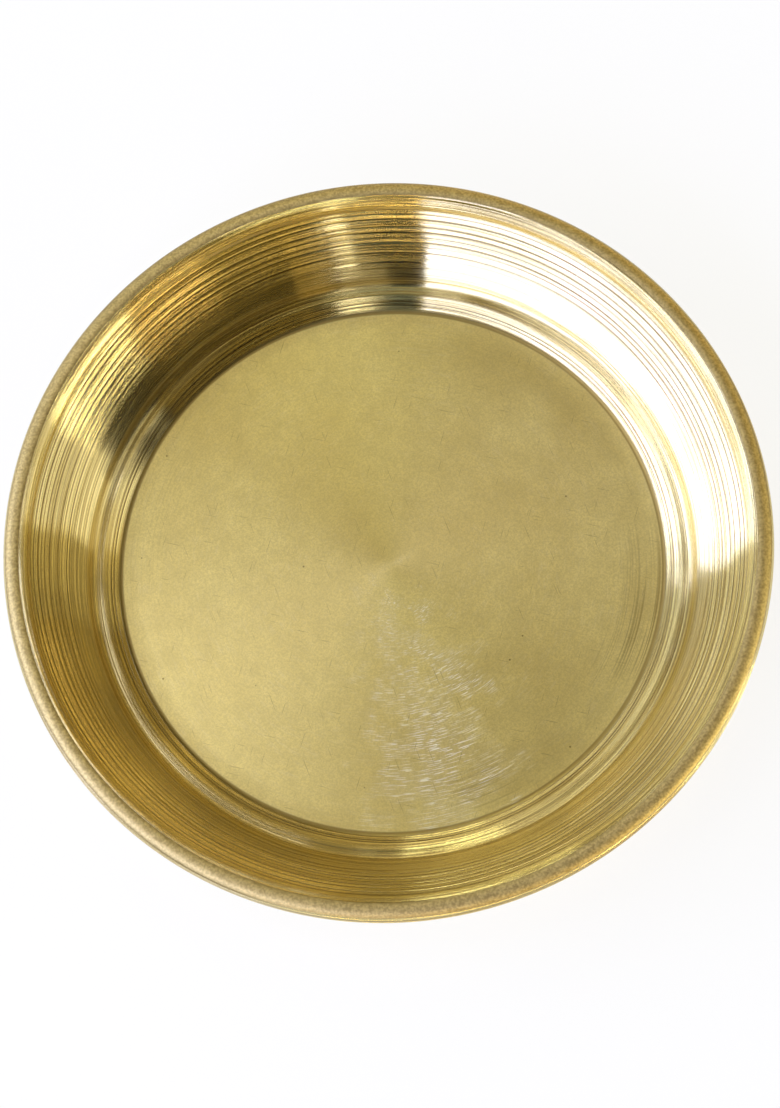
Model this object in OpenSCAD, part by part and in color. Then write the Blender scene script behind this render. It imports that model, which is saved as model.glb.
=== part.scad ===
// A round brass thali plate with a flat floor, a low step and ledge, a deep
// flared wall with turned grooves, and an edge curled over a stiffening wire.
// Z is up, and the origin is the centre of the base on the table.

/* [Overall] */
// Outer diameter over the rolled rim
plate_d = 230; // [190:1:300]
// Thickness of the brass sheet
sheet_t = 1.2; // [0.8:0.05:1.5]

/* [Rolled rim] */
// Diameter of the stiffening wire inside the rim
wire_d = 5; // [3.5:0.1:6.5]
// Clearance between the wire and the sheet curled round it
wire_clearance = 0.1; // [0.05:0.01:0.3]
// Gap between the two butted ends of the wire
wire_end_gap = 2; // [0.5:0.1:6]
// Gap between the tucked edge of the sheet and the back of the wall
seam_gap = 0.3; // [0.2:0.05:0.6]
// Height of the rim's upright inner flank, from the crease to the wire's centre
flank_h = 1.8; // [1:0.1:3]
// Radius in the crease between the wall and the flank
crease_r = 0.6; // [0.3:0.05:1]

/* [Grooved band of the wall] */
// Width of the band, measured flat from its lower edge to the crease
band_run = 9.5; // [7:0.1:14]
// Height of the band
band_h = 13.2; // [9:0.1:18]
// Width of one turned groove
groove_w = 0.8; // [0.4:0.05:1]
// Depth of the deepest groove
groove_depth = 0.11; // [0.05:0.01:0.3]

/* [Smooth band of the wall] */
// Width of the band, measured flat from the ledge to the grooved band
smooth_run = 6; // [4:0.1:9]
// Height of the band
smooth_h = 10.6; // [7:0.1:14]
// Radius where the wall meets the ledge
wall_foot_r = 2.2; // [1:0.1:3]

/* [Ledge and step] */
// Width of the ledge
ledge_w = 3.4; // [3:0.1:6]
// Rise of the ledge from its inner edge to the wall
ledge_rise = 0.5; // [0.1:0.1:1.5]
// Width of the step, measured flat
step_run = 4; // [3.4:0.1:6]
// Height of the step above the floor
step_h = 3; // [2:0.1:4]
// Radius over the inner edge of the ledge
ledge_edge_r = 3.6; // [2:0.1:4.5]
// Radius where the step meets the floor
floor_foot_r = 2.4; // [1:0.1:3]
// Width of one scribed line on the step
scribe_w = 0.5; // [0.3:0.05:0.6]
// Depth of a scribed line
scribe_depth = 0.08; // [0.03:0.01:0.15]

/* [Hidden] */
$fn = 180;

// Degrees between two points on an arc of the outline
arc_step = 6;
// Straight pieces across one groove
groove_steps = 4;
// Places of the grooves up the grooved band, and how deep each is cut
groove_place_shares = [0.05, 0.175, 0.275, 0.385, 0.5, 0.625, 0.79, 0.905];
groove_depth_shares = [0.7, 0.35, 1, 0.5, 1, 0.9, 1, 0.8];
// Places of the scribed lines up the step, and how deep each is cut
scribe_place_shares = [0.38, 0.58];
scribe_depth_shares = [1, 0.8];
brass_colour = "#b8a55f";
steel_colour = "#8d8c88";

// The curl is a circle round the wire
curl_in_r = wire_d / 2 + wire_clearance;
curl_r = curl_in_r + sheet_t;
wire_ring_r = plate_d / 2 - curl_r;

// Radii and heights of the outline's corners, on the face that holds food
crease_ring_r = wire_ring_r - curl_r;
band_foot_ring_r = crease_ring_r - band_run;
wall_foot_ring_r = band_foot_ring_r - smooth_run;
ledge_edge_ring_r = wall_foot_ring_r - ledge_w;
floor_ring_r = ledge_edge_ring_r - step_run;
floor_z = sheet_t;
ledge_edge_z = floor_z + step_h;
wall_foot_z = ledge_edge_z + ledge_rise;
band_foot_z = wall_foot_z + smooth_h;
crease_z = band_foot_z + band_h;
wire_z = crease_z + flank_h;

floor_centre = [0, floor_z];
floor_foot = [floor_ring_r, floor_z];
ledge_edge = [ledge_edge_ring_r, ledge_edge_z];
wall_foot = [wall_foot_ring_r, wall_foot_z];
band_foot = [band_foot_ring_r, band_foot_z];
crease = [crease_ring_r, crease_z];
wire_centre = [wire_ring_r, wire_z];
curl_start = [crease_ring_r, wire_z];

// The curl stops where its outer face comes within the seam gap of the wall's back
band_angle = atan2(band_h, band_run);
back_normal = [sin(band_angle), -cos(band_angle)];
wire_to_back = (wire_centre - crease) * back_normal - sheet_t;
curl_end_angle = band_angle - 90 - acos((seam_gap - wire_to_back) / curl_r);
curl_start_angle = 180;

function unit(v) = v / norm(v);
function cross_z(a, b) = a[0] * b[1] - a[1] * b[0];
function on_circle(centre, r, angle) = centre + r * [cos(angle), sin(angle)];

// Points on an arc from one angle to another, both ends included
function arc(centre, r, from, to) =
    let (steps = max(1, ceil(abs(to - from) / arc_step)))
    [for (i = [0 : steps]) on_circle(centre, r, from + (to - from) * i / steps)];

// The arc that rounds corner c between its neighbours a and b
function rounded(a, c, b, r) =
    let (
        to_a = unit(a - c),
        to_b = unit(b - c),
        half = acos(to_a * to_b) / 2,
        centre = c + unit(to_a + to_b) * r / sin(half),
        start = c + to_a * r / tan(half) - centre,
        from = atan2(start[1], start[0]),
        turn = sign(cross_z(-to_a, to_b)) * (180 - 2 * half)
    )
    arc(centre, r, from, from + turn);

// A row of shallow grooves cut into the straight from a to b
function grooves(a, b, places, depths, width, depth) =
    let (along = unit(b - a), inward = [along[1], -along[0]])
    [
        for (i = [0 : len(places) - 1], k = [0 : groove_steps])
            let (t = k / groove_steps)
            a + (b - a) * places[i] + along * width * (t - 1 / 2)
                + inward * depth * depths[i] * sin(180 * t)
    ];

// The same path moved square to itself by t, to its right-hand side
function moved(path, t) =
    let (last = len(path) - 1)
    [
        for (i = [0 : last])
            let (
                before = unit(path[max(i, 1)] - path[max(i, 1) - 1]),
                after = unit(path[min(i, last - 1) + 1] - path[min(i, last - 1)]),
                middle = unit(before + after)
            )
            path[i] + [middle[1], -middle[0]] * t / (middle * after)
    ];

function reversed(path) = [for (i = [len(path) - 1 : -1 : 0]) path[i]];

// Stretches of the food side of the sheet, from the centre out to the tucked edge
floor_foot_arc = rounded(floor_centre, floor_foot, ledge_edge, floor_foot_r);
ledge_edge_arc = rounded(floor_foot, ledge_edge, wall_foot, ledge_edge_r);
wall_foot_arc = rounded(ledge_edge, wall_foot, band_foot, wall_foot_r);
crease_arc = rounded(band_foot, crease, curl_start, crease_r);
curl_arc = arc(wire_centre, curl_r, curl_start_angle, curl_end_angle);
step_lines = grooves(floor_foot, ledge_edge, scribe_place_shares, scribe_depth_shares, scribe_w, scribe_depth);
band_grooves = grooves(band_foot, crease, groove_place_shares, groove_depth_shares, groove_w, groove_depth);

lower_path = concat([floor_centre], floor_foot_arc);
ledge_path = concat(ledge_edge_arc, wall_foot_arc, [band_foot]);
rim_path = concat(crease_arc, curl_arc);
plain_path = concat(lower_path, ledge_path, rim_path);
food_side = concat(lower_path, step_lines, ledge_path, band_grooves, rim_path);
table_side = moved(plain_path, sheet_t);

// One spun sheet: floor, step, ledge, wall and the edge curled outward over the wire
module plate_body() {
    color(brass_colour)
        rotate_extrude()
            polygon(concat(food_side, reversed(table_side)));
}

// The wire ring that the curl grips, open where its ends butt
module rim_wire() {
    open_angle = 360 * wire_end_gap / (2 * PI * wire_ring_r);
    color(steel_colour)
        rotate([0, 0, 90 + open_angle / 2])
            rotate_extrude(angle = 360 - open_angle)
                translate(wire_centre)
                    circle(d = wire_d);
}

plate_body();
rim_wire();
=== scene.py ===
from math import acos, atan2, cos, hypot, pi, radians, sin, tan

import bmesh
import bpy
from mathutils import Matrix, Vector


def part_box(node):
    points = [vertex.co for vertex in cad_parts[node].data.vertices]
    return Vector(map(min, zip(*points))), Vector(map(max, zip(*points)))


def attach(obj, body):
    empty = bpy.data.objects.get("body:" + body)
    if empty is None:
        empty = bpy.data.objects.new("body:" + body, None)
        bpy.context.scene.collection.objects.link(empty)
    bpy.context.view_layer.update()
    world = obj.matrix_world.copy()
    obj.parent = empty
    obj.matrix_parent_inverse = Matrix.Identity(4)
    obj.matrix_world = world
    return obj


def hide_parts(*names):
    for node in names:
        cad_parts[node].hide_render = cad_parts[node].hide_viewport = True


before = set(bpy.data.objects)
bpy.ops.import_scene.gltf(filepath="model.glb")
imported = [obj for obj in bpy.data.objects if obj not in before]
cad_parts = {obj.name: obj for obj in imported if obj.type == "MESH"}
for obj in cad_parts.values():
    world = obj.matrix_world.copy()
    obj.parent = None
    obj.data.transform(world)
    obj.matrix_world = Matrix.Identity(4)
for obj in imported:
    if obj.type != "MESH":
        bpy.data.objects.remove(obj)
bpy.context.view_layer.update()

# A brass thali plate: a satin floor inside a low step and ledge, a deep
# lathe-turned wall, and a rim rolled outward over a stiffening wire.
# Sizes are in metres. MM turns a size in millimetres into metres.
MM = 0.001

# The spun sheet, as it is drawn in section
SHEET_T = 1.2 * MM
FLANK_H = 1.8 * MM
CREASE_R = 0.6 * MM
BAND_RUN = 9.5 * MM
BAND_H = 13.2 * MM
BAND_FOOT_R = 2.0 * MM
SMOOTH_RUN = 6.0 * MM
SMOOTH_H = 10.6 * MM
WALL_FOOT_R = 2.2 * MM
LEDGE_W = 3.4 * MM
LEDGE_RISE = 0.5 * MM
LEDGE_EDGE_R = 3.6 * MM
STEP_RUN = 4.0 * MM
STEP_H = 3.0 * MM
FLOOR_FOOT_R = 2.4 * MM
SEAM_GAP = 0.3 * MM

# Corners of the section, in their order from the centre out
CENTRE, FLOOR_FOOT, LEDGE_EDGE, WALL_FOOT, BAND_FOOT, CREASE, CURL_START = range(7)

# Turned grooves of the wall and scribed lines of the step. shares has the
# place of each up its straight, and its share of the depth.
GROOVES = {
    "width": 0.8 * MM, "depth": 0.11 * MM, "round": 0.3 * MM,
    "shares": [
        (0.05, 0.7), (0.175, 0.35), (0.275, 1), (0.385, 0.5),
        (0.5, 1), (0.625, 0.9), (0.79, 1), (0.905, 0.8),
    ],
}
SCRIBES = {"width": 0.5 * MM, "depth": 0.08 * MM, "round": 0.2 * MM, "shares": [(0.38, 1), (0.58, 0.8)]}

# Satin band on top of the rim, as angles round the wire from the outside
RIM_TOP_ANGLES = radians(43), radians(108)

# Dark lines in the grooves, the crease, the foot of the floor and the edges of the rim's top, each with its
# half width and its strength.
# In a groove the half width is a share of the groove's width, and the strength
# is the least one, which grows with the depth.
DARK_LINE_MAP = "dark_line_strength"
FLOOR_FOOT_LINE = 0.65 * MM, 0.95
CREASE_LINE = 0.4 * MM, 0.6
RIM_EDGE_LINE = 0.45 * MM, 0.55
GROOVE_LINE_SHARE = 0.45
GROOVE_LINE_STRENGTH = 0.6

# Fineness of the mesh
TURNS = 256
ARC_STEP = radians(7)
FLOOR_CUTS = 12
BAND_CUTS = 5
MERGE_GAP = 0.002 * MM

# Brass and steel colours, as linear red, green and blue
BRASS = (0.77, 0.62, 0.25)
BRASS_PALE = (0.83, 0.68, 0.29)
SATIN = (0.77, 0.616, 0.20)
SATIN_PALE = (0.83, 0.68, 0.23)
SATIN_MATTE = (0.56, 0.442, 0.144)
# Painted glint colour of the floor's hairs and of its painted highlight streak
PAINTED_GLINT = (0.97, 0.90, 0.62)
BRASS_DARK = (0.30, 0.21, 0.06)
DARK_LINE_COLOUR = (0.12, 0.082, 0.032)
RIM_DARK = (0.37, 0.27, 0.085)
RIM_LIGHT = (0.60, 0.455, 0.155)
STEEL_DARK = (0.36, 0.35, 0.34)
STEEL_LIGHT = (0.5, 0.49, 0.47)

# Noise patterns of the finishes: waves to a metre, and layers of finer detail
FLOOR_CLOUD = 22, 3
FLOOR_FINE_CLOUD = 160, 3
FLOOR_GRAIN = 2000, 2
GLINT_STREAK_EDGE = 110, 3
WORN_PATCHES = 60, 2
SCUFFED_PATCHES = 14, 1
WALL_CLOUD = 40, 3
WALL_WAVES = 30, 1
RIM_GRAIN = 1400, 2
UNDERSIDE_CLOUD = 25, 4
WIRE_CLOUD = 300, 3

# How deep the finishes stand in relief
FLOOR_RELIEF = 0.05 * MM
WALL_WAVE_H = 1.2 * MM
RIM_RELIEF = 0.03 * MM
UNDERSIDE_RELIEF = 0.03 * MM

# Painted highlight streak on the floor, where the hairs are painted as glints: its middle, and its half
# width, half length and a height that nothing of the plate reaches
GLINT_STREAK_SPOT = (3 * MM, -58 * MM, SHEET_T)
GLINT_STREAK_SIZE = (15 * MM, 38 * MM, 1)

# Scuffed part of the floor: the side it lies on, and the radii between which it sets in
SCUFFED_SIDE = (0.64, -0.77, 0)
SCUFFED_RADII = 66 * MM, 76 * MM

# Dark line round the flat floor, inside the arc at its foot
FLOOR_EDGE_R = 83.6 * MM
EDGE_LINE_W = 0.6 * MM

# Marks of the floor: hairs painted bright as glints, scuffed arcs, scratches and pits
HAIR_W = 0.24 * MM
SCUFF_W = 0.4 * MM
SCRATCH_W = 0.25 * MM
PIT_SPACING = 7 * MM
PIT_SIZE = 0.4 * MM
PITTED_SHARE = 0.35

# Straight scratches, each with its direction, its length and the seed of its noise
SCRATCHES = (
    (radians(24), 9 * MM, 3),
    (radians(-63), 8 * MM, 8),
    (radians(80), 11 * MM, 15),
)

# Widths of the turning marks
HAIRLINE_W = 0.12 * MM
FINE_LINE_W = 0.3 * MM
BROAD_LINE_W = 0.9 * MM
UNDERSIDE_LINE_W = 0.8 * MM

# Radii between which the wall's turning marks change from one part to the next
STEP_TO_SMOOTH = 92 * MM, 94 * MM
SMOOTH_TO_BAND = 97 * MM, 98.5 * MM
BAND_TO_CREASE = 106.8 * MM, 107.3 * MM

# How far the hairlines rock the face normal on each part, and the fine lines everywhere
STEP_ROCK = 0.8
SMOOTH_ROCK = 0.3
BAND_ROCK = 0.6
CREASE_ROCK = 2.0
FINE_ROCK = 0.25

# A lean of the normal on the smooth band, and the share of it that the grooved
# band keeps. Below 0 the normal leans up, so the wall mirrors higher parts of the room.
LEAN = -0.30
BAND_LEAN_SHARE = 0.6
LEAN_SETS_IN = 93 * MM, 94 * MM
LEAN_EASES = 97.4 * MM, 98.2 * MM

# Rim and wire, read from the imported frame
plate_high = Vector(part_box("plate_body")[1])
wire_low, wire_high = (Vector(c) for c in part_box("rim_wire"))
wire_z = (wire_low.z + wire_high.z) / 2
curl_r = plate_high.z - wire_z
wire_ring_r = plate_high.x - curl_r
wire_centre = Vector((wire_ring_r, 0, wire_z))


def turn_at(a, c, b):
    """How far a path through a, c and b turns at c: positive where it turns up, towards the food side."""
    go = c - a
    leave = b - c
    return atan2(go.x * leave.z - go.z * leave.x, go.dot(leave))


def section_corners():
    """Corners of the food side, from the centre out to the start of the curl, each with its radius."""
    curl_start = wire_centre - Vector((curl_r, 0, 0))
    crease = curl_start - Vector((0, 0, FLANK_H))
    band_foot = crease - Vector((BAND_RUN, 0, BAND_H))
    wall_foot = band_foot - Vector((SMOOTH_RUN, 0, SMOOTH_H))
    ledge_edge = wall_foot - Vector((LEDGE_W, 0, LEDGE_RISE))
    floor_foot = ledge_edge - Vector((STEP_RUN, 0, STEP_H))
    centre = Vector((0, 0, floor_foot.z))
    points = [centre, floor_foot, ledge_edge, wall_foot, band_foot, crease, curl_start]
    radii = [0, FLOOR_FOOT_R, LEDGE_EDGE_R, WALL_FOOT_R, BAND_FOOT_R, CREASE_R, 0]
    return points, radii


def to_table_side(points, radii):
    """The same corners and radii on the sheet's other face."""
    moved = [points[CENTRE] - Vector((0, 0, SHEET_T))]
    new_radii = [0]
    for a, c, b, r in zip(points, points[1:], points[2:], radii[1:]):
        go = (c - a).normalized()
        leave = (b - c).normalized()
        middle = (go + leave).normalized()
        moved.append(c + Vector((middle.z, 0, -middle.x)) * SHEET_T / middle.dot(go))
        new_radii.append(r + SHEET_T if turn_at(a, c, b) > 0 else r - SHEET_T)
    moved.append(points[CURL_START] + Vector((SHEET_T, 0, 0)))
    return moved, new_radii + [0]


def notch(a, b, share, width, depth):
    """Three corners of a groove cut into the straight from a to b."""
    along = (b - a).normalized()
    inward = Vector((along.z, 0, -along.x))
    middle = a + (b - a) * share
    return [middle - along * width / 2, middle + inward * depth, middle + along * width / 2]


def draw_section(bm, points, radii):
    """A chain of edges through the points, with its corners rounded. Returns its far end."""
    verts = [bm.verts.new(p) for p in points]
    for pair in zip(verts, verts[1:]):
        bm.edges.new(pair)
    for a, v, c, b, r in zip(points, verts[1:], points[1:], points[2:], radii[1:]):
        if r:
            turn = abs(turn_at(a, c, b))
            bmesh.ops.bevel(
                bm, geom=[v], offset=r * tan(turn / 2), segments=max(2, round(turn / ARC_STEP)),
                profile=0.5, affect="VERTICES", material=-1,
            )
    return verts[-1]


def filled(points, radii, details):
    """The corners with the details of each straight put in between. details maps the corner that a
    straight starts at to what it has: a count of plain cuts, or a row of grooves."""
    out, out_radii = [], []
    for i, (p, r) in enumerate(zip(points, radii)):
        out.append(p)
        out_radii.append(r)
        detail = details.get(i)
        if isinstance(detail, int):
            out += [p + (points[i + 1] - p) * (k + 1) / (detail + 1) for k in range(detail)]
            out_radii += [0] * detail
        elif detail:
            for place, deep in detail["shares"]:
                out += notch(p, points[i + 1], place, detail["width"], detail["depth"] * deep)
                out_radii += [detail["round"]] * 3
    return out, out_radii


def dark_lines():
    """Where the dark lines lie: a point in section, the half width of the line and its strength."""
    points, _ = section_corners()
    lines = [(points[FLOOR_FOOT], *FLOOR_FOOT_LINE), (points[CREASE], *CREASE_LINE)]
    for angle in RIM_TOP_ANGLES:
        edge = wire_centre + Vector((cos(angle), 0, sin(angle))) * curl_r
        lines.append((edge, *RIM_EDGE_LINE))
    for corner, row in ((FLOOR_FOOT, SCRIBES), (BAND_FOOT, GROOVES)):
        for place, deep in row["shares"]:
            width, depth = row["width"], row["depth"] * deep
            middle = notch(points[corner], points[corner + 1], place, width, depth)[1]
            lines.append((middle, width * GROOVE_LINE_SHARE, GROOVE_LINE_STRENGTH + deep / 2))
    return lines


def curl_over_wire(bm, crease, ends):
    """Takes the two faces of the sheet round the wire until they meet the back of the wall."""
    wall_angle = atan2(BAND_H, BAND_RUN)
    back_gap = (wire_centre - crease).dot(Vector((sin(wall_angle), 0, -cos(wall_angle)))) - SHEET_T
    end_angle = wall_angle - pi / 2 - acos((SEAM_GAP - back_gap) / curl_r)
    curl_turn = pi - end_angle
    steps = round(curl_turn / ARC_STEP)
    tips = []
    for v in ends:
        made = bmesh.ops.spin(bm, geom=[v], cent=wire_centre, axis=(0, 1, 0), angle=curl_turn, steps=steps)
        tips += [g for g in made["geom_last"] if isinstance(g, bmesh.types.BMVert)]
    bm.edges.new(tips)


def mark_dark_lines(bm):
    """Writes the strength of the dark lines at each corner of the mesh."""
    dark_line_strength = bm.verts.layers.float.new(DARK_LINE_MAP)
    for line, width, strength in dark_lines():
        for v in bm.verts:
            away = hypot(hypot(v.co.x, v.co.y) - line.x, v.co.z - line.z)
            if away < width:
                v[dark_line_strength] = max(v[dark_line_strength], strength * (1 - away / width))


def make_plate_body():
    """The spun sheet: its two faces drawn in section, curled over the wire and spun round the axis."""
    bm = bmesh.new()
    points, radii = section_corners()
    food_details = {CENTRE: FLOOR_CUTS, FLOOR_FOOT: SCRIBES, WALL_FOOT: BAND_CUTS, BAND_FOOT: GROOVES}
    table_details = {CENTRE: FLOOR_CUTS, WALL_FOOT: BAND_CUTS, BAND_FOOT: BAND_CUTS}
    food_end = draw_section(bm, *filled(points, radii, food_details))
    table_end = draw_section(bm, *filled(*to_table_side(points, radii), table_details))
    curl_over_wire(bm, points[CREASE], (food_end, table_end))
    bmesh.ops.remove_doubles(bm, verts=bm.verts, dist=MERGE_GAP)
    bmesh.ops.spin(
        bm, geom=bm.verts[:] + bm.edges[:], cent=(0, 0, 0), axis=(0, 0, 1),
        angle=2 * pi, steps=TURNS, use_merge=True,
    )
    bmesh.ops.remove_doubles(bm, verts=bm.verts, dist=MERGE_GAP)
    bmesh.ops.recalc_face_normals(bm, faces=bm.faces)
    for face in bm.faces:
        face.smooth = True
    mark_dark_lines(bm)
    return to_object(bm, "plate_sheet")


def to_object(bm, name):
    """A new object with the mesh that is in bm."""
    mesh = bpy.data.meshes.new(name)
    bm.to_mesh(mesh)
    bm.free()
    made = bpy.data.objects.new(name, mesh)
    bpy.context.collection.objects.link(made)
    return made


def wire_up(mat, source, target):
    mat.node_tree.links.new(source, target)


def fill(mat, slots, values):
    """Sets each input to its number, vector or colour, or links it to its socket."""
    for slot, value in zip(slots, values):
        if isinstance(value, (int, float, tuple)):
            slot.default_value = value
        else:
            wire_up(mat, value, slot)


def calc(mat, operation, *values):
    """A math node on numbers and sockets."""
    node = mat.node_tree.nodes.new("ShaderNodeMath")
    node.operation = operation
    fill(mat, node.inputs, values)
    return node.outputs[0]


def combine(mat, operation, first, *others):
    """Math nodes in a row, so that any count of masks is multiplied, or the largest of them is found."""
    for other in others:
        first = calc(mat, operation, first, other)
    return first


def vector_calc(mat, operation, *values):
    """A vector math node on vectors and sockets."""
    node = mat.node_tree.nodes.new("ShaderNodeVectorMath")
    node.operation = operation
    fill(mat, node.inputs, values)
    return node.outputs["Value" if operation in ("LENGTH", "DOT_PRODUCT") else "Vector"]


def remap(mat, value, low, high, to_low=0, to_high=1, smooth=False):
    """value taken from the range low to high into to_low to to_high."""
    node = mat.node_tree.nodes.new("ShaderNodeMapRange")
    node.interpolation_type = "SMOOTHSTEP" if smooth else "LINEAR"
    fill(mat, node.inputs, (value, low, high, to_low, to_high))
    return node.outputs[0]


def parts(mat, vector):
    """The three numbers of a vector socket."""
    split = mat.node_tree.nodes.new("ShaderNodeSeparateXYZ")
    wire_up(mat, vector, split.inputs[0])
    return tuple(split.outputs)


def join(mat, *values):
    """A vector of three numbers or sockets."""
    node = mat.node_tree.nodes.new("ShaderNodeCombineXYZ")
    fill(mat, node.inputs, values)
    return node.outputs[0]


def polar(mat, place):
    """Radius, height and direction from the axis, as sockets."""
    x, y, z = parts(mat, place)
    flat = join(mat, x, y, 0)
    return vector_calc(mat, "LENGTH", flat), z, vector_calc(mat, "NORMALIZE", flat)


def noise(mat, vector, scale, detail):
    node = mat.node_tree.nodes.new("ShaderNodeTexNoise")
    node.inputs["Scale"].default_value = scale
    node.inputs["Detail"].default_value = detail
    wire_up(mat, vector, node.inputs["Vector"])
    return node.outputs["Fac"]


def mix_colour(mat, share, a, b):
    """Colour a where share is 0 and b where it is 1."""
    node = mat.node_tree.nodes.new("ShaderNodeMix")
    node.data_type = "RGBA"
    slots = [i for i in node.inputs if i.enabled and i.type == "RGBA"]
    fill(mat, slots, [(*colour, 1) if isinstance(colour, tuple) else colour for colour in (a, b)])
    wire_up(mat, share, node.inputs["Factor"])
    return next(o for o in node.outputs if o.enabled and o.type == "RGBA")


def bump(mat, height, distance, below=None):
    """A normal for relief of this height, laid over the normal below it if there is one."""
    node = mat.node_tree.nodes.new("ShaderNodeBump")
    node.inputs["Distance"].default_value = distance
    wire_up(mat, height, node.inputs["Height"])
    if below is not None:
        wire_up(mat, below, node.inputs["Normal"])
    return node.outputs["Normal"]


def attribute(mat, name):
    node = mat.node_tree.nodes.new("ShaderNodeAttribute")
    node.attribute_name = name
    return node.outputs["Fac"]


def metal_shader(name):
    """A new metal material, its shader and its object coordinates."""
    mat = bpy.data.materials.new(name)
    mat.use_nodes = True
    nodes = mat.node_tree.nodes
    nodes.clear()
    out = nodes.new("ShaderNodeOutputMaterial")
    metal = nodes.new("ShaderNodeBsdfPrincipled")
    metal.inputs["Metallic"].default_value = 1
    wire_up(mat, metal.outputs["BSDF"], out.inputs["Surface"])
    place = nodes.new("ShaderNodeTexCoord").outputs["Object"]
    return mat, metal, place


def lathe_grain(mat, metal, strength):
    """Draws the shine out across the turning marks, which run round the axis."""
    tangent = mat.node_tree.nodes.new("ShaderNodeTangent")
    tangent.direction_type = "RADIAL"
    tangent.axis = "Z"
    wire_up(mat, tangent.outputs[0], metal.inputs["Tangent"])
    metal.inputs["Anisotropic"].default_value = strength
    metal.inputs["Anisotropic Rotation"].default_value = 0.25


def drawn_round(mat, across, aim, arc_share, detail):
    """Noise drawn out along the circumference. A larger arc_share makes its marks shorter."""
    x, y, _ = parts(mat, aim)
    along = [calc(mat, "MULTIPLY", side, arc_share) for side in (x, y)]
    return noise(mat, join(mat, across, *along), 1, detail)


def turned_lines(mat, place, line_w, arc_share):
    """Lines about line_w wide round the axis, on the flat and up the wall."""
    radius, z, aim = polar(mat, place)
    across = calc(mat, "ADD", calc(mat, "MULTIPLY", radius, 1 / line_w), calc(mat, "MULTIPLY", z, 1 / line_w))
    return drawn_round(mat, across, aim, arc_share, 1)


def turned_scratches(mat, place, width, arc_share, seed):
    """Short scratches round the axis on the flat floor."""
    radius, _, aim = polar(mat, place)
    across = calc(mat, "ADD", calc(mat, "MULTIPLY", radius, 1 / width), seed)
    return drawn_round(mat, across, aim, arc_share, 0)


def straight_scratches(mat, place, angle, length, seed):
    """Thin straight scratches in one direction, as a mask."""
    turn = mat.node_tree.nodes.new("ShaderNodeMapping")
    turn.inputs["Rotation"].default_value = (0, 0, angle)
    wire_up(mat, place, turn.inputs["Vector"])
    stretched = vector_calc(mat, "MULTIPLY", turn.outputs[0], (1 / length, 1 / SCRATCH_W, 0))
    shifted = vector_calc(mat, "ADD", stretched, (seed, seed, seed))
    return remap(mat, noise(mat, shifted, 1, 0), 0.815, 0.85)


def pits(mat, place):
    """Small dark pits: round spots in some cells of a grid, as a mask."""
    cells = mat.node_tree.nodes.new("ShaderNodeTexVoronoi")
    cells.inputs["Scale"].default_value = 1 / PIT_SPACING
    wire_up(mat, place, cells.inputs["Vector"])
    size = PIT_SIZE / PIT_SPACING
    spot = remap(mat, cells.outputs["Distance"], size / 2, size, 1, 0)
    chance, _, _ = parts(mat, cells.outputs["Color"])
    return calc(mat, "MULTIPLY", spot, calc(mat, "LESS_THAN", chance, PITTED_SHARE))


def glint_streak_patch(mat, place):
    """1 in the middle of the painted highlight streak on the floor, and near 0 past its ragged edge."""
    offset = vector_calc(mat, "SUBTRACT", place, GLINT_STREAK_SPOT)
    away = vector_calc(mat, "LENGTH", vector_calc(mat, "DIVIDE", offset, GLINT_STREAK_SIZE))
    ragged = remap(mat, noise(mat, place, *GLINT_STREAK_EDGE), 0.3, 0.7, -0.8, 0.8)
    return remap(mat, calc(mat, "ADD", away, ragged), 0.3, 1.5, 1, 0.08, smooth=True)


def glinting_hairs(mat, place, glint_streak):
    """Short hairs round the axis, real fine scratches that are also painted bright as glints, most of them in
    the painted highlight streak.
    """
    hair_and_glint = remap(mat, turned_scratches(mat, place, HAIR_W, 14, 0), 0.6, 0.66)
    worn = remap(mat, noise(mat, place, *WORN_PATCHES), 0.4, 0.6, 0.4, 1)
    return combine(mat, "MULTIPLY", hair_and_glint, glint_streak, worn)


def scuffed_arcs(mat, place):
    """Dark arcs round the axis, near the edge of the floor and most of them on its scuffed side."""
    radius, _, aim = polar(mat, place)
    arcs = remap(mat, turned_scratches(mat, place, SCUFF_W, 1.5, 40), 0.55, 0.65)
    near_edge = remap(mat, radius, *SCUFFED_RADII)
    patches = remap(mat, noise(mat, place, *SCUFFED_PATCHES), 0.5, 0.62)
    facing = vector_calc(mat, "DOT_PRODUCT", aim, SCUFFED_SIDE)
    side = remap(mat, facing, 0.3, 0.8, 0.15, 1, smooth=True)
    return combine(mat, "MULTIPLY", arcs, near_edge, patches, side)


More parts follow.
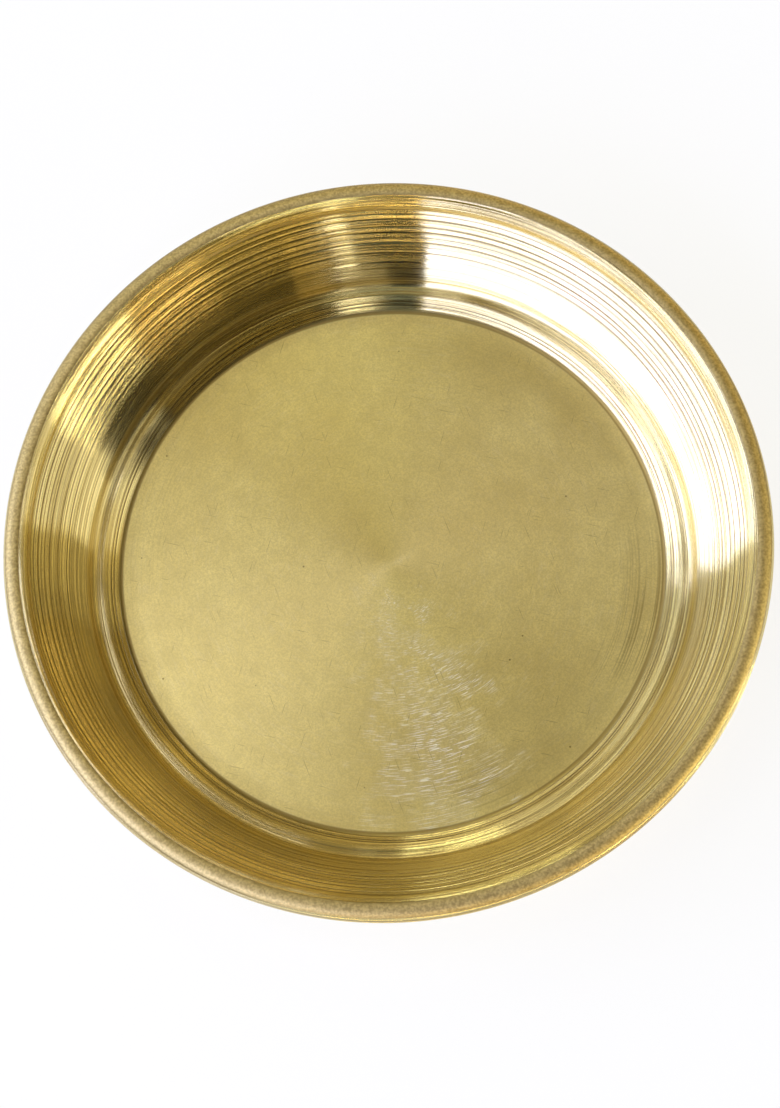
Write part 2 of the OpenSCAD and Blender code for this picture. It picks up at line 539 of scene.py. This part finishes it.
def floor_satin():
    """Satin brass with a fine grain, a painted highlight streak with painted glints on its hairs in one part,
    scuffed in another, scratched and pitted.
    """
    mat, metal, place = metal_shader("brass_floor_satin")
    lathe_grain(mat, metal, 0.4)
    radius, _, _ = polar(mat, place)
    cloud = remap(mat, noise(mat, place, *FLOOR_CLOUD), 0.35, 0.65)
    fine_cloud = remap(mat, noise(mat, place, *FLOOR_FINE_CLOUD), 0.3, 0.7, 0, 0.35)
    grain = remap(mat, noise(mat, place, *FLOOR_GRAIN), 0.35, 0.65, 0, 0.55)
    glint_streak = glint_streak_patch(mat, place)
    hair_and_glint = glinting_hairs(mat, place, glint_streak)
    scratch = combine(mat, "MAXIMUM", *(straight_scratches(mat, place, *row) for row in SCRATCHES))
    edge_line = remap(mat, radius, FLOOR_EDGE_R - EDGE_LINE_W, FLOOR_EDGE_R, 0, 0.9, smooth=True)
    dark = combine(
        mat, "MAXIMUM", calc(mat, "MULTIPLY", scratch, 0.7),
        calc(mat, "MULTIPLY", scuffed_arcs(mat, place), 0.8), pits(mat, place), edge_line,
    )

    tone = mix_colour(mat, cloud, SATIN, SATIN_PALE)
    tone = mix_colour(mat, fine_cloud, tone, SATIN_MATTE)
    tone = mix_colour(mat, grain, tone, SATIN_MATTE)
    # Painted highlight: the streak where a light glints on the floor is painted a little paler
    tone = mix_colour(mat, calc(mat, "MULTIPLY", glint_streak, 0.1), tone, PAINTED_GLINT)
    # Painted glints: the hairs are painted bright, as if catching the light; their roughness and relief are
    # real scratches
    tone = mix_colour(mat, hair_and_glint, tone, PAINTED_GLINT)
    tone = mix_colour(mat, dark, tone, BRASS_DARK)
    wire_up(mat, tone, metal.inputs["Base Color"])
    rough = calc(mat, "ADD", remap(mat, cloud, 0, 1, 0.30, 0.36), calc(mat, "MULTIPLY", hair_and_glint, 0.15))
    wire_up(mat, rough, metal.inputs["Roughness"])
    relief = calc(mat, "ADD", calc(mat, "MULTIPLY", hair_and_glint, -1), calc(mat, "MULTIPLY", scratch, -0.06))
    wire_up(mat, bump(mat, relief, FLOOR_RELIEF), metal.inputs["Normal"])
    return mat


def turned_normal(mat, place, tilt):
    """The face's normal, tipped down the profile by tilt, or up it where tilt is below 0."""
    _, _, aim = polar(mat, place)
    around = vector_calc(mat, "CROSS_PRODUCT", (0, 0, 1), aim)
    face_normal = mat.node_tree.nodes.new("ShaderNodeNewGeometry").outputs["Normal"]
    downhill = vector_calc(mat, "CROSS_PRODUCT", face_normal, around)
    tipped = vector_calc(mat, "ADD", face_normal, vector_calc(mat, "MULTIPLY", downhill, tilt))
    return vector_calc(mat, "NORMALIZE", tipped)


def turned_wall():
    """Bright brass with turning marks that rock its mirror image, and dark lines in its grooves."""
    mat, metal, place = metal_shader("brass_turned_wall")
    lathe_grain(mat, metal, 1)
    radius, _, _ = polar(mat, place)
    cloud = remap(mat, noise(mat, place, *WALL_CLOUD), 0.35, 0.65)
    hairline = turned_lines(mat, place, HAIRLINE_W, 1.5)
    fine = turned_lines(mat, place, FINE_LINE_W, 1.5)
    broad = turned_lines(mat, place, BROAD_LINE_W, 1)

    tone = mix_colour(mat, cloud, BRASS_PALE, BRASS)
    tone = mix_colour(mat, remap(mat, fine, 0.45, 0.7, 0, 0.5), tone, BRASS_DARK)
    tone = mix_colour(mat, remap(mat, broad, 0.5, 0.62, 0, 0.5), tone, BRASS_DARK)
    tone = mix_colour(mat, calc(mat, "MULTIPLY", attribute(mat, DARK_LINE_MAP), 0.85), tone, DARK_LINE_COLOUR)
    wire_up(mat, tone, metal.inputs["Base Color"])
    wire_up(mat, remap(mat, fine, 0.3, 0.7, 0.15, 0.25), metal.inputs["Roughness"])

    rock = combine(
        mat, "ADD", remap(mat, radius, *STEP_TO_SMOOTH, STEP_ROCK, SMOOTH_ROCK),
        remap(mat, radius, *SMOOTH_TO_BAND, 0, BAND_ROCK - SMOOTH_ROCK),
        remap(mat, radius, *BAND_TO_CREASE, 0, CREASE_ROCK - BAND_ROCK),
    )
    rocked = calc(mat, "MULTIPLY", remap(mat, hairline, 0, 1, -1, 1), rock)
    lean = calc(
        mat, "MULTIPLY", remap(mat, radius, *LEAN_SETS_IN, 0, LEAN),
        remap(mat, radius, *LEAN_EASES, 1, BAND_LEAN_SHARE),
    )
    fine_rocked = remap(mat, fine, 0, 1, -FINE_ROCK, FINE_ROCK)
    normal = turned_normal(mat, place, combine(mat, "ADD", rocked, lean, fine_rocked))
    wavy = bump(mat, noise(mat, place, *WALL_WAVES), WALL_WAVE_H, below=normal)
    wire_up(mat, wavy, metal.inputs["Normal"])
    return mat


def rim_satin():
    """Dull grainy brass for the worn top of the rim."""
    mat, metal, place = metal_shader("brass_rim_satin")
    grain = noise(mat, place, *RIM_GRAIN)
    tone = mix_colour(mat, remap(mat, grain, 0.35, 0.65), RIM_DARK, RIM_LIGHT)
    tone = mix_colour(mat, attribute(mat, DARK_LINE_MAP), tone, DARK_LINE_COLOUR)
    wire_up(mat, tone, metal.inputs["Base Color"])
    wire_up(mat, remap(mat, grain, 0.3, 0.7, 0.48, 0.62), metal.inputs["Roughness"])
    wire_up(mat, bump(mat, grain, RIM_RELIEF), metal.inputs["Normal"])
    return mat


def underside_satin():
    """Plain satin brass with faint rings from spinning."""
    mat, metal, place = metal_shader("brass_underside")
    lathe_grain(mat, metal, 0.5)
    rings = turned_lines(mat, place, UNDERSIDE_LINE_W, 1)
    cloud = noise(mat, place, *UNDERSIDE_CLOUD)
    tone = mix_colour(mat, remap(mat, cloud, 0.3, 0.7), BRASS, BRASS_PALE)
    wire_up(mat, tone, metal.inputs["Base Color"])
    wire_up(mat, remap(mat, cloud, 0.3, 0.7, 0.28, 0.42), metal.inputs["Roughness"])
    wire_up(mat, bump(mat, rings, UNDERSIDE_RELIEF), metal.inputs["Normal"])
    return mat


def wire_steel():
    """Unpolished drawn steel."""
    mat, metal, place = metal_shader("drawn_steel_wire")
    cloud = noise(mat, place, *WIRE_CLOUD)
    wire_up(mat, mix_colour(mat, cloud, STEEL_DARK, STEEL_LIGHT), metal.inputs["Base Color"])
    wire_up(mat, remap(mat, cloud, 0.3, 0.7, 0.35, 0.5), metal.inputs["Roughness"])
    return mat


def finish_zones(plate):
    """Gives each face of the sheet the finish of its zone."""
    on_floor, on_wall, on_rim_top, below = range(4)
    for finish in (floor_satin(), turned_wall(), rim_satin(), underside_satin()):
        plate.data.materials.append(finish)
    points, _ = section_corners()
    floor_r = points[FLOOR_FOOT].x
    for face in plate.data.polygons:
        c = face.center
        r = hypot(c.x, c.y)
        on_curl = hypot(r - wire_ring_r, c.z - wire_z) > curl_r - SHEET_T / 2 and r > wire_ring_r - curl_r
        round_wire = atan2(c.z - wire_z, r - wire_ring_r)
        if r < floor_r and face.normal.z > 0:
            face.material_index = on_floor
        elif on_curl and RIM_TOP_ANGLES[0] < round_wire < RIM_TOP_ANGLES[1]:
            face.material_index = on_rim_top
        elif face.normal.z > 0 or (on_curl and c.z > wire_z - FLANK_H):
            face.material_index = on_wall
        else:
            face.material_index = below


plate = make_plate_body()
finish_zones(plate)
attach(plate, "root")
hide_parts("plate_body")
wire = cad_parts["rim_wire"]
wire.data.materials.clear()
wire.data.materials.append(wire_steel())

# The photograph's view, with the height of its frame and the focal length in pixels
PHOTO_H = 1108
FOCAL_PX = 2600
SENSOR_MM = 36
CAMERA_ELEVATION = radians(72.65)
CAMERA_ROLL = radians(-11.09)
CAMERA_REACH = 6.743 * plate_high.x
AIM_SIDE, AIM_UP = radians(-0.0914), radians(0.3535)

# The floor that the plate stands on, half of its width in metres, and how much of it glows white
STAGE_HALF = 6
STAGE_COLOUR = (0.95, 0.92, 0.70, 1)
STAGE_GLOW = 0.85

# The room as patches of light. Each spans some directions from +X and some
# heights above the table, both in degrees, and then has the blur of its sides
# in degrees and its colour. PATCH_EDGE is half the blur of a top or bottom.
PATCH_EDGE = 1
ROOM = (
    ("window, right pane", (149.5, 166), (8, 40), 1, (4.0, 4.6, 9.6)),
    ("window, middle pane", (166, 191), (8, 40), 1, (3.6, 4.1, 8.6)),
    ("window, bright gap", (191, 197), (8, 40), 2, (4.4, 5.0, 10.5)),
    ("window, left pane", (197, 245.5), (8, 40), 1, (3.9, 4.5, 9.4)),
    ("sky over the window", (122, 168), (60, 82), 4, (3.2, 3.4, 4.8)),
    ("above the window", (170, 245.5), (40, 62), 4, (0.9, 0.75, 0.4)),
    ("wall beside the window", (98, 170), (20, 40), 36, (1.5, 1.65, 1.9)),
    ("foot of that wall", (110, 150), (8, 20), 20, (0.24, 0.2, 0.3)),
    ("sill", (122, 160), (0, 8), 16, (2.4, 2.4, 2.6)),
    ("high wall, far left", (98, 125), (50, 62), 6, (1.3, 1.2, 1.0)),
    ("far wall", (50, 108), (20, 40), 16, (1.0, 0.84, 0.45)),
    ("far right wall", (20, 54), (16, 40), 6, (0.6, 0.45, 0.12)),
    ("low lamp, far right", (20, 78), (0, 6), 8, (4.0, 3.0, 1.3)),
    ("doorway", (-18, 3.5), (8, 62), 1.5, (1.4, 1.4, 1.4)),
    ("beside the doorway", (3.5, 20), (20, 62), 4, (1.1, 0.95, 0.5)),
    ("low lamp, near", (246, 300), (0, 6.5), 4, (7.0, 5.6, 2.8)),
    ("low lamp, near left", (244, 260), (0, 6.5), 4, (7.0, 5.5, 3.0)),
    ("low lamp, near right", (298, 318), (0, 6.5), 6, (18.0, 14.0, 8.0)),
    ("low lamp, right", (318, 343), (0, 6), 3, (34.0, 33.0, 28.0)),
    ("wall, near right", (280, 335), (46, 58), 8, (0.7, 0.54, 0.22)),
    ("pale door frame", (259, 267), (6, 30), 1.5, (0.5, 0.45, 0.35)),
    ("wooden door frame", (270, 281), (6, 30), 3, (0.5, 0.38, 0.17)),
    ("near spot", (262, 269), (44, 56), 1, (7.0, 7.0, 8.0)),
    ("far spot", (88, 98), (45, 57), 1, (7.0, 7.5, 6.5)),
    ("ceiling, far right", (45, 90), (62, 78), 10, (0.4, 0.31, 0.1)),
    ("ceiling, far left", (90, 130), (62, 78), 10, (0.35, 0.3, 0.2)),
    ("ceiling, overhead", (70, 180), (78, 90), 10, (0.4, 0.36, 0.26)),
    ("ceiling, near left", (225, 270), (62, 78), 16, (0.5, 0.65, 0.8)),
)


def make_camera():
    """Looks along +Y and down, from the photograph's angle."""
    away = Vector((0, -cos(CAMERA_ELEVATION), sin(CAMERA_ELEVATION)))
    camera = bpy.data.objects.new("camera", bpy.data.cameras.new("camera"))
    camera.data.sensor_width = SENSOR_MM
    camera.data.lens = FOCAL_PX * SENSOR_MM / PHOTO_H
    upright = away.to_track_quat("Z", "Y").to_matrix()
    roll = Matrix.Rotation(CAMERA_ROLL, 3, "Z")
    aim = Matrix.Rotation(AIM_SIDE, 3, "Y") @ Matrix.Rotation(-AIM_UP, 3, "X")
    turned = (upright @ roll @ aim).to_4x4()
    camera.matrix_world = Matrix.Translation(away * CAMERA_REACH + Vector((0, 0, wire_z))) @ turned
    bpy.context.collection.objects.link(camera)
    bpy.context.scene.camera = camera


def room_patch(world, azimuth, elevation, sides, heights, blur):
    """1 inside a patch of the room and 0 outside."""
    middle = calc(world, "SUBTRACT", azimuth, sum(sides) / 2)
    off = calc(world, "ABSOLUTE", calc(world, "WRAP", middle, 180, -180))
    half = (sides[1] - sides[0]) / 2
    across = remap(world, off, half - blur / 2, half + blur / 2, 1, 0)
    off = calc(world, "ABSOLUTE", calc(world, "SUBTRACT", elevation, sum(heights) / 2))
    half = (heights[1] - heights[0]) / 2
    return calc(world, "MULTIPLY", across, remap(world, off, half - PATCH_EDGE, half + PATCH_EDGE, 1, 0))


def make_world():
    """Lights the plate with the patches of the room and nothing else."""
    world = bpy.data.worlds.new("studio")
    bpy.context.scene.world = world
    world.use_nodes = True
    nodes = world.node_tree.nodes
    nodes.clear()
    out = nodes.new("ShaderNodeOutputWorld")
    light = nodes.new("ShaderNodeBackground")
    wire_up(world, light.outputs[0], out.inputs["Surface"])
    x, y, height = parts(world, nodes.new("ShaderNodeTexCoord").outputs["Generated"])
    azimuth = calc(world, "MULTIPLY", calc(world, "ARCTAN2", y, x), 180 / pi)
    elevation = calc(world, "MULTIPLY", calc(world, "ARCSINE", height), 180 / pi)
    total = (0, 0, 0)
    for name, sides, heights, blur, colour in ROOM:
        patch = room_patch(world, azimuth, elevation, sides, heights, blur)
        total = vector_calc(world, "MULTIPLY_ADD", colour, patch, total)
        total.node.label = name
    wire_up(world, total, light.inputs["Color"])


def make_floor():
    """A pale floor that stays white to the camera but keeps the plate's shadow."""
    bm = bmesh.new()
    bmesh.ops.create_grid(bm, x_segments=2, y_segments=2, size=STAGE_HALF)
    floor = to_object(bm, "studio_floor")
    mat = bpy.data.materials.new("studio_floor")
    mat.use_nodes = True
    nodes = mat.node_tree.nodes
    nodes.clear()
    out = nodes.new("ShaderNodeOutputMaterial")
    matte = nodes.new("ShaderNodeBsdfPrincipled")
    matte.inputs["Base Color"].default_value = STAGE_COLOUR
    matte.inputs["Roughness"].default_value = 0.25
    glow = nodes.new("ShaderNodeEmission")
    mix = nodes.new("ShaderNodeMixShader")
    path = nodes.new("ShaderNodeLightPath")
    rays = ("Is Camera Ray", "Is Glossy Ray", "Is Transmission Ray")
    seen = combine(mat, "MAXIMUM", *(path.outputs[ray] for ray in rays))
    share = calc(mat, "MULTIPLY", seen, STAGE_GLOW)
    fill(mat, mix.inputs, (share, matte.outputs[0], glow.outputs[0]))
    wire_up(mat, mix.outputs[0], out.inputs["Surface"])
    floor.data.materials.append(mat)


make_camera()
make_world()
make_floor()

bpy.context.scene.view_settings.view_transform = "Standard"
